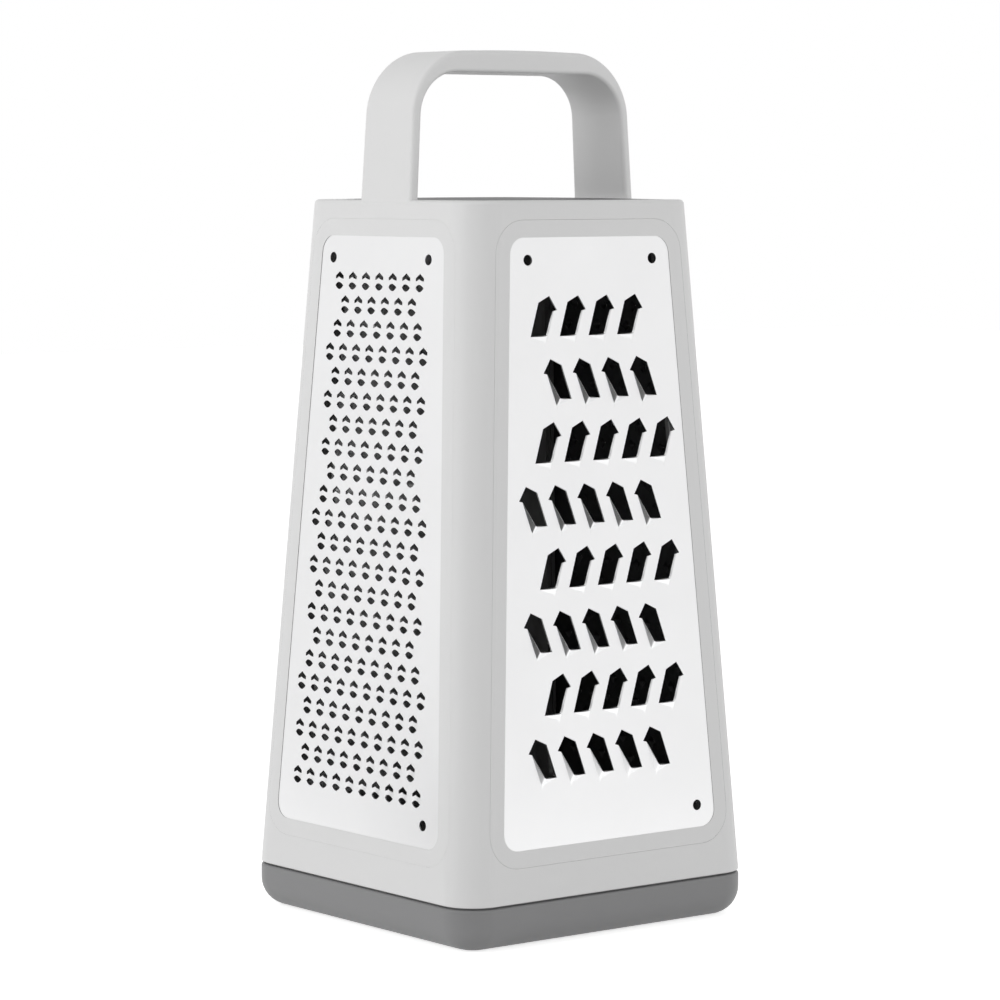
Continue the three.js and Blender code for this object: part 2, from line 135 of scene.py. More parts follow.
class Signal:
    """An output socket of a material's nodes. Sums on it add Math nodes, node() any other node."""

    def __init__(self, tree, socket=None):
        self.tree = tree
        self.socket = socket

    def node(self, kind, settings, sockets, out=0):
        made = self.tree.nodes.new(kind)
        for key, value in settings.items():
            setattr(made, key, value)
        for key, value in sockets.items():
            if isinstance(value, Signal):
                self.tree.links.new(value.socket, made.inputs[key])
            else:
                made.inputs[key].default_value = value
        return Signal(self.tree, made.outputs[out])

    def maths(self, operation, first, second):
        return self.node("ShaderNodeMath", {"operation": operation}, {0: first, 1: second})

    def __add__(self, other):
        return self.maths("ADD", self, other)

    def __radd__(self, other):
        return self.maths("ADD", other, self)

    def __sub__(self, other):
        return self.maths("SUBTRACT", self, other)

    def __rsub__(self, other):
        return self.maths("SUBTRACT", other, self)

    def __mul__(self, other):
        return self.maths("MULTIPLY", self, other)

    def __rmul__(self, other):
        return self.maths("MULTIPLY", other, self)

    def noise(self, place, scale, detail):
        sockets = {"Vector": place, "Scale": scale, "Detail": detail}
        return self.node("ShaderNodeTexNoise", {}, sockets)

    def blend(self, share, first, second):
        """Mixes two colours."""
        return self.node("ShaderNodeMix", {"data_type": "RGBA"}, {0: share, 6: first, 7: second}, out=2)


def new_finish(name, **constants):
    """A material with the given constants on its shader. Returns it, its shader and a Signal."""
    material = bpy.data.materials.new(name)
    material.use_nodes = True
    shader = material.node_tree.nodes["Principled BSDF"]
    for key, value in constants.items():
        shader.inputs[key.replace("_", " ")].default_value = value
    return material, shader, Signal(material.node_tree)


def wire(shader, **signals):
    """Links signals to the shader's sockets."""
    for key, signal in signals.items():
        signal.tree.links.new(signal.socket, shader.inputs[key.replace("_", " ")])


def moulded_plastic(name, colour, worn, roughness, inside=None):
    """Satin plastic with a fine moulded grain and slow drifts of tone and gloss.

    inside, where given, is a painted shade: a dark tone for the faces that look into the hollow.
    """
    material, shader, signal = new_finish(name, IOR=1.5)
    place = signal.node("ShaderNodeTexCoord", {}, {}, out="Object")
    drift = signal.noise(place, 38, 3)
    grain = signal.noise(place, 2600, 2)
    height = grain + 0.3 * signal.noise(place, 700, 2)
    bump = signal.node("ShaderNodeBump", {}, {"Strength": 0.08, "Distance": 0.00004, "Height": height})
    tone = signal.blend(drift, colour, worn)
    if inside:
        tone = signal.blend(looks_inward(place), tone, inside)
    wire(
        shader,
        Base_Color=tone,
        Roughness=roughness + 0.1 * (drift - 0.5) + 0.06 * (grain - 0.5),
        Normal=bump,
    )
    return material


def place_piece(piece, material, body, slot, *nodes):
    """Gives a finished piece its material and its body, and hides the solids that it stands for."""
    piece.data.materials.clear()
    piece.data.materials.append(material)
    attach(piece, body)
    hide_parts(*nodes)


grey_plastic = moulded_plastic("soft_grey_plastic", GREY, GREY_WORN, GREY_ROUGHNESS)
tray_low, tray_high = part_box("base_tray")
tray_width = tray_high.x - tray_low.x
seat_level = TRAY_HEIGHT + SEAT_STEP

tray = start("tray_pan", "cube", size=1)
bpy.ops.transform.resize(value=(tray_width, tray_width, TRAY_HEIGHT))
bpy.ops.transform.translate(value=(0, 0, TRAY_HEIGHT / 2))
pick(tray, "edges", upright)
bpy.ops.mesh.bevel(offset=TRAY_CORNER, segments=CORNER_STEPS)
pick(tray, "edges", at_level(0))
bpy.ops.mesh.bevel(offset=TRAY_UNDER, segments=9)
pick(tray, "edges", at_level(TRAY_HEIGHT))
bpy.ops.mesh.bevel(offset=TRAY_RIM, segments=4)
pick(tray, "faces", at_level(TRAY_HEIGHT))
bpy.ops.mesh.inset(thickness=TRAY_SHOULDER - TRAY_RIM)
raise_faces(SEAT_STEP)
bpy.ops.mesh.inset(thickness=UPSTAND_INSET - TRAY_SHOULDER)
raise_faces(UPSTAND_RISE)
bpy.ops.mesh.inset(thickness=UPSTAND_THICK)
raise_faces(TRAY_FLOOR - seat_level - UPSTAND_RISE)
pick(tray, "edges", at_level(seat_level + UPSTAND_RISE))
bpy.ops.mesh.bevel(offset=UPSTAND_EDGE, segments=2)
pick(tray, "edges", at_level(TRAY_FLOOR))
bpy.ops.mesh.bevel(offset=FLOOR_FILLET, segments=4)
smooth(tray)
place_piece(tray, grey_plastic, "tray", "grey_plastic", "base_tray")

# Frame: one white moulding. Its hollow body tapers upwards with round corners, and each side has
# a window with a shallow pocket round it for the bezel. The arch handle grows out of the deck,
# its legs in line with the left and right sides. The faces round the hollow get a painted shade,
# a dark tone for the unlit inside.
BODY_LEVEL = 12.9 * MM
BODY_HEIGHT = 190 * MM
BODY_BOTTOM = 103.4 * MM
BODY_TOP = 80.2 * MM
BODY_CORNER = 10.3 * MM
WALL = 4 * MM
DECK = 4 * MM
DECK_EDGE = 1.2 * MM
FOOT_EDGE = 0.5 * MM
FOOT_DROP = 0.2 * MM
WINDOW_SIDE = 12.8 * MM
WINDOW_TOP = 10 * MM
WINDOW_BOTTOM = 14.1 * MM
WINDOW_CORNER = 4.8 * MM
BEZEL_BAND = 4.4 * MM
BEZEL_GROOVE = 0.35 * MM
BEZEL_THICK = 2.2 * MM
BEZEL_FLANGE = 3 * MM
SEAT_GAP = 0.3 * MM
HANDLE_RISE = 41.7 * MM
HANDLE_WIDTH = 23.6 * MM
HANDLE_TOP_WIDTH = 22.2 * MM
HANDLE_EDGE = 1.2 * MM
HANDLE_OUTER_BEND = 18.7 * MM
BAR_DROP = 0.9 * MM
BAR_CROWN_BEND = 500 * MM
HANDLE_INNER_BEND = 12.5 * MM
LEG_INSET = 0.15 * MM
LEG_THICK = 3 * MM
BAR_THICK = 6.5 * MM
COVER_MARGIN = 5.6 * MM
COVER_THICK = 1.6 * MM
COVER_CORNER = 5 * MM
FIT_GAP = 0.3 * MM
REACH = 10 * MM
HOLLOW_TOP = 200 * MM
INWARD = 4 * MM
WHITE = (0.73, 0.73, 0.73, 1)
WHITE_WORN = (0.75, 0.75, 0.748, 1)
WHITE_SHADED = (0.2, 0.2, 0.2, 1)
WHITE_ROUGHNESS = 0.42


def split(vector):
    """The three parts of a vector."""
    parts = vector.node("ShaderNodeSeparateXYZ", {}, {"Vector": vector}).socket.node
    return [Signal(vector.tree, parts.outputs[axis]) for axis in "XYZ"]


def looks_inward(place):
    """1 on faces that look into the hollow of the body, given the place on it, and 0 elsewhere; the
    painted inner shade goes on these.
    """
    x, y, z = split(place)
    out_x, out_y = split(place.node("ShaderNodeNewGeometry", {}, {}, out="Normal"))[:2]
    inward = place.maths("LESS_THAN", x * out_x + y * out_y, -INWARD)
    return inward * place.maths("LESS_THAN", z, HOLLOW_TOP)


# Its last colour is painted shade, a dark tone for the faces round the hollow.
white_plastic = moulded_plastic("white_satin_plastic", WHITE, WHITE_WORN, WHITE_ROUGHNESS, WHITE_SHADED)
deck_level = BODY_LEVEL + BODY_HEIGHT
side_step = (BODY_BOTTOM - BODY_TOP) / 2
slant = math.hypot(side_step, BODY_HEIGHT)
tilt = math.atan2(side_step, BODY_HEIGHT)


def body_half(z):
    """Half the body's width at a height above its lower edge."""
    return BODY_BOTTOM / 2 - side_step * z / BODY_HEIGHT


def on_side(turns):
    """Where a side's own frame lies: across the side, up its slope and out of it."""
    slope = Matrix.Rotation(math.pi / 2 - tilt, 4, "X")
    foot = Matrix.Translation((0, -BODY_BOTTOM / 2, BODY_LEVEL))
    return Matrix.Rotation(turns * math.pi / 2, 4, "Z") @ foot @ slope


def rounded_blank(name, corners, radii, steps=10):
    """A flat sheet in X and Y with the given corners, each rounded. Open for editing."""
    blank = start(name, "circle", vertices=len(corners), fill_type="NGON")
    shape = bmesh.from_edit_mesh(blank.data)
    shape.verts.ensure_lookup_table()
    for vert, corner in zip(shape.verts, corners):
        vert.co = Vector(corner).to_3d()
    places = [vert.co.copy() for vert in shape.verts]
    bmesh.update_edit_mesh(blank.data)
    count = len(places)
    for i, radius in enumerate(radii):
        if radius > 0:
            back = places[i - 1] - places[i]
            ahead = places[(i + 1) % count] - places[i]
            reach = radius / math.tan(back.angle(ahead) / 2)
            pick(blank, "verts", lambda vert: (vert.co - places[i]).length < TINY)
            bpy.ops.mesh.bevel(offset=reach, segments=steps, affect="VERTICES")
    bpy.ops.mesh.select_all(action="SELECT")
    bpy.ops.mesh.normals_make_consistent(inside=False)
    return blank


def window_half(s):
    """Half the width of a side's window at a height up the slope."""
    return body_half(s * BODY_HEIGHT / slant) - WINDOW_SIDE


def window_blank(name, offset):
    """A sheet of a window's outline, grown outwards by an offset."""
    low = WINDOW_BOTTOM - offset
    high = slant - WINDOW_TOP + offset
    wide = window_half(low) + offset
    narrow = window_half(high) + offset
    corners = [(-wide, low), (wide, low), (narrow, high), (-narrow, high)]
    return rounded_blank(name, corners, [WINDOW_CORNER + offset] * 4)


def thicken(piece, low, high):
    """Makes an open blank a block between two heights."""
    bpy.ops.mesh.select_all(action="SELECT")
    bpy.ops.transform.translate(value=(0, 0, low))
    raise_faces(high - low)
    bpy.ops.mesh.select_all(action="SELECT")
    bpy.ops.mesh.normals_make_consistent(inside=False)
    return piece


def combine(piece, tool, operation):
    """Cuts a closed tool out of the piece, joins it on, or keeps only what lies in it."""
    apply_modifier(piece, "BOOLEAN", operation=operation, solver="EXACT", object=tool)


def combine_once(piece, tool, operation):
    """Combines the piece with a tool that is then removed."""
    combine(piece, tool, operation)
    bpy.data.objects.remove(tool)


def move_to(piece, matrix):
    """Leaves edit mode and puts the piece's mesh in its place."""
    only(piece)
    piece.data.transform(matrix)


body = start("body_and_handle", "cube", size=1)
foot_level = BODY_LEVEL - FOOT_DROP
bpy.ops.transform.resize(value=(BODY_BOTTOM, BODY_BOTTOM, deck_level - foot_level))
bpy.ops.transform.translate(value=(0, 0, (deck_level + foot_level) / 2))
pick(body, "faces", at_level(deck_level))
bpy.ops.transform.resize(value=(BODY_TOP / BODY_BOTTOM, BODY_TOP / BODY_BOTTOM, 1))
pick(body, "edges", upright)
bpy.ops.mesh.bevel(offset=BODY_CORNER, segments=CORNER_STEPS)
pick(body, "edges", at_level(deck_level))
bpy.ops.mesh.bevel(offset=DECK_EDGE, segments=5)
pick(body, "edges", at_level(foot_level))
bpy.ops.mesh.bevel(offset=FOOT_EDGE, segments=3)
only(body)
bpy.ops.object.duplicate(linked=False)
outer_form = bpy.context.object
only(body)
bpy.ops.object.mode_set(mode="EDIT")
pick(body, "faces", at_level(foot_level))
bpy.ops.mesh.inset(thickness=WALL - FOOT_EDGE)
raise_faces(deck_level - DECK - foot_level)
shrink = (body_half(BODY_HEIGHT - DECK) - WALL) / (body_half(0) - WALL)
bpy.ops.transform.resize(value=(shrink, shrink, 1))

arch_top = deck_level + HANDLE_RISE
arch_foot = deck_level - DECK / 2
bar_under = arch_top - BAR_THICK


def leg_face(z, inset):
    """How far a leg's outer or inner face lies from the middle at a height."""
    return body_half(z - BODY_LEVEL) - LEG_INSET - inset


arch_corners = [
    (leg_face(arch_foot, 0), arch_foot),
    (leg_face(arch_top, 0), arch_top - BAR_DROP),
    (0, arch_top),
    (-leg_face(arch_top, 0), arch_top - BAR_DROP),
    (-leg_face(arch_foot, 0), arch_foot),
    (-leg_face(arch_foot, LEG_THICK), arch_foot),
    (-leg_face(bar_under, LEG_THICK), bar_under),
    (leg_face(bar_under, LEG_THICK), bar_under),
    (leg_face(arch_foot, LEG_THICK), arch_foot),
]
outer_bends = [0, HANDLE_OUTER_BEND, BAR_CROWN_BEND, HANDLE_OUTER_BEND, 0]
arch_bends = outer_bends + [0, HANDLE_INNER_BEND, HANDLE_INNER_BEND, 0]
arch = rounded_blank("arch", arch_corners, arch_bends, steps=24)
thicken(arch, -HANDLE_WIDTH / 2, HANDLE_WIDTH / 2)
pick(arch, "edges", lambda edge: not upright(edge))
bpy.ops.mesh.bevel(offset=HANDLE_EDGE, segments=6)
shape = bmesh.from_edit_mesh(arch.data)
for vert in shape.verts:
    up = (vert.co.y - deck_level) / HANDLE_RISE
    vert.co.z *= 1 + up * (HANDLE_TOP_WIDTH / HANDLE_WIDTH - 1)
bmesh.update_edit_mesh(arch.data)
move_to(arch, Matrix.Rotation(math.pi / 2, 4, "X"))
combine_once(body, arch, "UNION")

cover_half = BODY_TOP / 2 - COVER_MARGIN


def square_blank(name, half, corner):
    corners = [(-half, -half), (half, -half), (half, half), (-half, half)]
    return rounded_blank(name, corners, [corner] * 4)


pocket_floor = deck_level - COVER_THICK - SEAT_GAP
cover_pocket = square_blank("cover_pocket", cover_half + FIT_GAP, COVER_CORNER + FIT_GAP)
thicken(cover_pocket, pocket_floor, deck_level + DECK_EDGE)
combine_once(body, cover_pocket, "DIFFERENCE")

for turns in range(4):
    pocket = window_blank("bezel_pocket", BEZEL_BAND + BEZEL_GROOVE)
    thicken(pocket, -BEZEL_THICK - SEAT_GAP, REACH)
    move_to(pocket, on_side(turns))
    combine_once(body, pocket, "DIFFERENCE")
    opening = window_blank("window_opening", -BEZEL_FLANGE)
    thicken(opening, -REACH, REACH)
    move_to(opening, on_side(turns))
    combine_once(body, opening, "DIFFERENCE")
smooth(body)
place_piece(body, white_plastic, "grater", "white_plastic", "frame")

# Cover: a dark grey panel pressed into a recess in the deck between the handle's legs. Its edge is
# level with the white rim, and it swells a little towards its middle.
COVER_EDGE = 0.3 * MM
COVER_CROWN = 0.6 * MM
COVER_RINGS = 6
COVER_GREY = (0.1, 0.1, 0.102, 1)
COVER_WORN = (0.115, 0.115, 0.117, 1)

cover = square_blank("deck_cover", cover_half, COVER_CORNER)
thicken(cover, deck_level - COVER_THICK, deck_level)
pick(cover, "edges", at_level(deck_level))
bpy.ops.mesh.bevel(offset=COVER_EDGE, segments=3)
pick(cover, "faces", at_level(deck_level))
for ring in range(COVER_RINGS, 1, -1):
    raise_faces(COVER_CROWN * (2 * ring - 1) / COVER_RINGS ** 2)
    shrink = (ring - 1) / ring
    bpy.ops.transform.resize(value=(shrink, shrink, 1))
smooth(cover)
cover_plastic = moulded_plastic("dark_grey_plastic", COVER_GREY, COVER_WORN, GREY_ROUGHNESS)
place_piece(cover, cover_plastic, "grater", "grey_plastic", "top_cover")

# Bezels: a white ring on each side, pressed into its pocket flush with the frame, so that only a
# hairline shows round it, least of all on the left. A rebate in its front takes the plate, and a
# flange runs behind the plate's rim.
PLATE_SINK = 0.1 * MM
PLATE_THICK = 0.5 * MM
HAIRLINE = 0.05 * MM
TIGHT_HAIRLINE = 0.02 * MM
BEZEL_SPARE = 0.5 * MM
SIDES = ["front", "right", "back", "left"]

rebate_floor = -PLATE_SINK - PLATE_THICK - SEAT_GAP
for turns, side in enumerate(SIDES):
    hairline = TIGHT_HAIRLINE if side == "left" else HAIRLINE
    band = BEZEL_BAND + BEZEL_GROOVE - hairline
    bezel = window_blank(f"{side}_bezel_ring", band)
    thicken(bezel, -BEZEL_THICK, BEZEL_SPARE)
    pick(bezel, "faces", at_level(BEZEL_SPARE))
    bpy.ops.mesh.inset(thickness=band)
    raise_faces(rebate_floor - BEZEL_SPARE)
    bpy.ops.mesh.inset(thickness=BEZEL_FLANGE)
    pick(bezel, "faces", at_level(-BEZEL_THICK))
    bpy.ops.mesh.inset(thickness=band + BEZEL_FLANGE)
    flange_edge = window_half(WINDOW_BOTTOM) - BEZEL_FLANGE / 2
    pick(
        bezel,
        "faces",
        lambda face: len(face.verts) > 4 and max(abs(v.co.x) for v in face.verts) < flange_edge,
    )
    bpy.ops.mesh.bridge_edge_loops()
    move_to(bezel, on_side(turns))
    combine(bezel, outer_form, "INTERSECT")
    smooth(bezel)
    place_piece(bezel, white_plastic, "grater", "white_plastic", f"{side}_bezel")
bpy.data.objects.remove(outer_form)

# Coarse plate: satin sheet steel with rows of leaning arrow-shaped openings. The punch presses
# the metal along each opening's lower corner outwards into a beak, and rows lean in turn to the
# right and to the left. Three small holes located the sheet in the press.
STEEL = (0.9, 0.9, 0.904, 1)
STEEL_DULL = (0.87, 0.87, 0.874, 1)
# A dark tone painted on the plates' backs as shade, for the unlit inside.
STEEL_BACK_SHADE = (0.12, 0.12, 0.123, 1)
STEEL_ROUGHNESS = 0.36
BACK_ROUGHER = 0.25
PLATE_FIT = 0.01 * MM
LOCATOR_HOLE = 3 * MM
LOCATOR_INSET = 6.2 * MM
LOCATOR_POINTS = 24
TOOTH_WIDTH = 5.5 * MM
TOOTH_BACK = 3.25 * MM
TOOTH_LEAN = math.tan(math.radians(18.7))
TOOTH_SHOULDER_DROP = 1.8 * MM
TOOTH_BARB_REACH = 1.1 * MM
TOOTH_BARB_DROP = 3.9 * MM
TOOTH_NOTCH_DROP = 4.2 * MM
TOOTH_LENGTH = 11.1 * MM
TOOTH_TOE_DROP = 13 * MM
BEAK_INSET = 0.9 * MM
BEAK_HEIGHT = 1.2 * MM
TOOTH_HEADROOM = 1.4 * MM
TOOTH_FOOTROOM = 1.6 * MM
TOOTH_SIDEROOM = 0.7 * MM
TOOTH_MARGIN = 2.2 * MM
LIP_STEPS = 4
LIP_POINTS = 16
TOE_SHARPNESS = 25
BEAK_SHARPNESS = 9
COARSE_TOP = 16 * MM
COARSE_LEAD = 15.1 * MM
COARSE_PITCH = 10.2 * MM
COARSE_ROW_PITCH = 17.2 * MM


def satin_steel(name, back_tone):
    """Stainless sheet with a fine vertical grain, a faint drift of gloss and a back of a given tone,
    which paints shade on the back where it is dark.
    """
    material, shader, signal = new_finish(name, Metallic=1.0)
    place = signal.node("ShaderNodeTexCoord", {}, {}, out="Object")
    drawn = signal.node("ShaderNodeMapping", {}, {"Vector": place, "Scale": (1, 1, 0.02)})
    grain = signal.noise(drawn, 3200, 3)
    drift = signal.noise(place, 45, 3)
    bump = signal.node("ShaderNodeBump", {}, {"Strength": 0.05, "Distance": 0.00003, "Height": grain})
    back = looks_inward(place)
    polished = STEEL_ROUGHNESS + 0.1 * (grain - 0.5) + 0.08 * (drift - 0.5)
    wire(
        shader,
        Base_Color=signal.blend(back, signal.blend(drift, STEEL, STEEL_DULL), back_tone),
        Roughness=polished + BACK_ROUGHER * back,
        Normal=bump,
    )
    return material


def loop_of(piece, points):
    """Adds a closed line through the points to the open piece."""
    bpy.ops.mesh.primitive_circle_add(vertices=len(points), fill_type="NOTHING")
    shape = bmesh.from_edit_mesh(piece.data)
    chosen = [vert for vert in shape.verts if vert.select]
    for vert, point in zip(chosen, points):
        vert.co = point
    bmesh.update_edit_mesh(piece.data)


def fill_between(piece):
    """Fills the flat sheet between the open piece's free edges, apart from those of openings."""
    pick(piece, "edges", lambda edge: len(edge.link_faces) < 2 and not edge.seam)
    bpy.ops.mesh.fill()
    bpy.ops.mesh.select_all(action="SELECT")
    bpy.ops.mesh.remove_doubles(threshold=TINY)


def conic(first, corner, last, sharpness, share):
    """A point of a line from first to last that rounds a corner."""
    before = (1 - share) ** 2
    middle = 2 * sharpness * share * (1 - share)
    after = share ** 2
    total = before + middle + after
    return (first * before + corner * middle + last * after) / total


def leaning_tooth(hand):
    """One tooth in a patch of sheet, its apex at the origin. hand is 1 or -1."""
    side = TOOTH_WIDTH / 2

    def lean(x, y):
        return Vector((hand * (x + y * TOOTH_LEAN), y, 0))

    heel = lean(-TOOTH_BACK, -TOOTH_LENGTH)
    toe = lean(side, -TOOTH_TOE_DROP)
    beak = lean(side - BEAK_INSET, -TOOTH_LENGTH)
    notch = lean(side, -TOOTH_NOTCH_DROP)

    # A strip is bent into the lip: along it from the heel round the corner to the notch, and
    # across it from the foot in the sheet to the raised cutting edge.
    tooth = start("tooth", "grid", size=1, x_subdivisions=LIP_POINTS, y_subdivisions=LIP_STEPS)
    shape = bmesh.from_edit_mesh(tooth.data)
    foot = []
    for vert in shape.verts:
        along = vert.co.x + 0.5
        across = vert.co.y + 0.5
        sharpness = TOE_SHARPNESS + (BEAK_SHARPNESS - TOE_SHARPNESS) * across
        corner = toe.lerp(beak, across)
        place = conic(heel, corner, notch, sharpness, along)
        rise = min((place - end).length / (corner - end).length for end in (heel, notch))
        vert.co = place + Vector((0, 0, BEAK_HEIGHT * across * rise))
        if across < 0.5 / LIP_STEPS:
            foot.append((along, vert.co.copy()))
    bmesh.update_edit_mesh(tooth.data)
    outline = [place for along, place in sorted(foot, key=lambda each: each[0])]
    outline.append(lean(side + TOOTH_BARB_REACH, -TOOTH_BARB_DROP))
    outline.append(lean(0, 0))
    outline.append(lean(-TOOTH_BACK, -TOOTH_SHOULDER_DROP))

    # The patch's border follows the tooth on the barb's side, and the border on the other side is
    # the same line one pitch away, so that copies meet.
    reach = side + TOOTH_SIDEROOM
    rim = [
        (reach, -TOOTH_TOE_DROP - TOOTH_FOOTROOM),
        (reach + TOOTH_BARB_REACH, -TOOTH_NOTCH_DROP),
        (reach + TOOTH_BARB_REACH, -TOOTH_BARB_DROP),
        (TOOTH_SIDEROOM, TOOTH_HEADROOM),
    ]
    border = [lean(x, y) for x, y in rim]
    border += [lean(x - COARSE_PITCH, y) for x, y in reversed(rim)]
    loop_of(tooth, outline)
    loop_of(tooth, border)
    pick(tooth, "edges", lambda edge: not edge.link_faces)
    bpy.ops.mesh.fill()
    bpy.ops.mesh.select_all(action="SELECT")
    bpy.ops.mesh.remove_doubles(threshold=TINY)

    def in_opening(edge):
        ends = [min((end.co - corner).length for corner in border) for end in edge.verts]
        return len(edge.link_faces) == 1 and min(ends) > TINY

    pick(tooth, "edges", in_opening)
    bpy.ops.mesh.mark_seam()
    only(tooth)
    return tooth


def row_of(tooth, count, pitch, u, s):
    """A row of copies of a tooth, the first at (u, s) on its side."""
    only(tooth)
    bpy.ops.object.duplicate(linked=False)
    row = bpy.context.object
    offset = (pitch, 0, 0)
    apply_modifier(
        row,
        "ARRAY",
        count=count,
        use_relative_offset=False,
        use_constant_offset=True,
        constant_offset_displace=offset,
    )
    move_to(row, Matrix.Translation((u, s, 0)))
    return row


def leaning_rows():
    """Rows of leaning teeth down a window, each leaning the other way from the one above it."""
    teeth = {hand: leaning_tooth(hand) for hand in (1, -1)}
    barb = TOOTH_WIDTH / 2 + TOOTH_BARB_REACH - TOOTH_BARB_DROP * TOOTH_LEAN
    lowest = WINDOW_BOTTOM + TOOTH_MARGIN + TOOTH_TOE_DROP
    rows = []
    hand = 1
    s = slant - WINDOW_TOP - COARSE_TOP
    while s > lowest:
        count = math.floor((window_half(s) - TOOTH_MARGIN - barb + COARSE_LEAD) / COARSE_PITCH) + 1
        rows.append(row_of(teeth[hand], count, hand * COARSE_PITCH, -hand * COARSE_LEAD, s))
        hand = -hand
        s -= COARSE_ROW_PITCH
    for tooth in teeth.values():
        bpy.data.objects.remove(tooth)
    return rows


def press_plate(name, rows, turns, node, sheet, across=0, foot_side=1):
    """Joins rows of teeth into one sheet, with its locating holes, its rim and its thickness."""
    plate = window_blank(name, -PLATE_FIT)
    bpy.ops.mesh.delete(type="ONLY_FACE")
    high = slant - WINDOW_TOP - LOCATOR_INSET
    low = WINDOW_BOTTOM + LOCATOR_INSET
    inset = window_half(high) - LOCATOR_INSET
    foot = foot_side * (window_half(low) - LOCATOR_INSET)
    turn = 2 * math.pi / LOCATOR_POINTS
    radius = Vector((LOCATOR_HOLE / 2, 0, 0))
    hole = [Matrix.Rotation(i * turn, 3, "Z") @ radius for i in range(LOCATOR_POINTS)]
    for u, s in [(-inset, high), (inset, high), (foot, low)]:
        loop_of(plate, [Vector((u + across, s, 0)) + point for point in hole])
    only(plate)
    for row in rows:
        row.data.transform(Matrix.Translation((across, 0, 0)))
        row.select_set(True)
    bpy.ops.object.join()
    bpy.ops.object.mode_set(mode="EDIT")
    bpy.ops.mesh.select_all(action="SELECT")
    bpy.ops.mesh.remove_doubles(threshold=TINY)
    fill_between(plate)
    bpy.ops.mesh.select_all(action="SELECT")
    bpy.ops.mesh.normals_make_consistent(inside=False)
    shape = bmesh.from_edit_mesh(plate.data)
    if sum(face.normal.z * face.calc_area() for face in shape.faces) < 0:
        bpy.ops.mesh.flip_normals()
    move_to(plate, Matrix.Translation((0, 0, -PLATE_SINK)))
    apply_modifier(plate, "SOLIDIFY", thickness=PLATE_THICK, offset=-1)
    move_to(plate, on_side(turns))
    smooth(plate)
    place_piece(plate, sheet, "grater", "plate_steel", node)


steel = satin_steel("satin_steel", STEEL_BACK_SHADE)
press_plate("coarse_teeth", leaning_rows(), SIDES.index("front"), "coarse_plate", steel)

# Fine plate: staggered rows of small openings. A narrow bridge crosses each one, arched out of
# the sheet, with a peaked slot above it and a round one below.
FINE_TOP = 12.8 * MM
FINE_BOTTOM = 10 * MM
FINE_SIDE = 7.5 * MM
FINE_OFFSET = -0.8 * MM
FINE_PITCH = 6.22 * MM
FINE_ROW_PITCH = 6.69 * MM
FINE_COLUMNS = 10
FINE_LINES = 5
FINE_REACH = 3
FINE_HALF = 1.85 * MM
BRIDGE_RISE = 0.25 * MM
DISC_END = -1.2 * MM
DISC_DEPTH = 1.1 * MM
BRIDGE_LOW = 0.95 * MM
BRIDGE_END = 0.65 * MM
BRIDGE_PEAK = 0.6 * MM
PEAK_END = 1.5 * MM
PEAK_HEIGHT = 1.25 * MM


def fine_tooth():
    """One small tooth in its patch of sheet, with two openings and the bridge between them."""
    tooth = start("tooth", "grid", size=1, x_subdivisions=FINE_COLUMNS, y_subdivisions=FINE_LINES)
    shape = bmesh.from_edit_mesh(tooth.data)
    spots = {}
    for vert in shape.verts:
        column = round(vert.co.x * FINE_COLUMNS)
        line = round((vert.co.y + 0.5) * FINE_LINES)
        spots[vert] = (column, line)
        x = vert.co.x * FINE_PITCH
        y = vert.co.y * FINE_ROW_PITCH
        z = 0
        if 0 < line < FINE_LINES and abs(column) < FINE_COLUMNS / 2:
            out = min(1, abs(column) / FINE_REACH)
            heights = {
                1: DISC_END - DISC_DEPTH * (1 - out ** 2),
                2: DISC_END + BRIDGE_LOW * (1 - out ** 2),
                3: BRIDGE_END + BRIDGE_PEAK * (1 - out) ** 2,
                4: PEAK_END + PEAK_HEIGHT * (1 - out),
            }
            y = heights[line]
            if abs(column) <= FINE_REACH:
                x = column / FINE_REACH * FINE_HALF
            if line in (2, 3):
                z = BRIDGE_RISE * (1 - out * out)
        vert.co = (x, y, z)
    bmesh.update_edit_mesh(tooth.data)

    def in_slot(face):
        columns = [abs(spots[vert][0]) for vert in face.verts]
        lines = {spots[vert][1] for vert in face.verts}
        return max(columns) <= FINE_REACH and lines in ({1, 2}, {3, 4})

    for face in shape.faces:
        if in_slot(face):
            for edge in face.edges:
                edge.seam = True
    pick(tooth, "faces", in_slot)
    bpy.ops.mesh.delete(type="FACE")
    only(tooth)
    return tooth


def staggered_rows(tooth, top, bottom, side, pitch, row_pitch):
    """Rows of a tooth down a window, with an odd and an even count in turn."""
    rows = []
    odd = 1
    s = slant - WINDOW_TOP - top
    while s >= WINDOW_BOTTOM + bottom:
        room = 2 * (window_half(s) - side) / pitch + 1
        count = 2 * math.floor((room - odd) / 2) + odd
        rows.append(row_of(tooth, count, pitch, -(count - 1) / 2 * pitch, s))
        odd = 1 - odd
        s -= row_pitch
    bpy.data.objects.remove(tooth)
    return rows


fine_rows = staggered_rows(fine_tooth(), FINE_TOP, FINE_BOTTOM, FINE_SIDE, FINE_PITCH, FINE_ROW_PITCH)
press_plate("fine_teeth", fine_rows, SIDES.index("left"), "fine_plate", steel, FINE_OFFSET)

# Rasp plate, on the right: staggered burrs. A four-sided punch bursts the sheet from behind, and
# four torn points stand up round each opening.
RASP_TOP = 15 * MM
RASP_BOTTOM = 11 * MM
RASP_SIDE = 7 * MM
RASP_PITCH = 6.6 * MM
RASP_ROW_PITCH = 5.8 * MM
BURR_FOOT = 3.7 * MM
BURR_RIM = 0.9 * MM
BURR_RISE = 1.2 * MM
BURR_TEAR = 0.25 * MM
BURR_WAIST = 0.575
BURR_SQUARE = 0.8


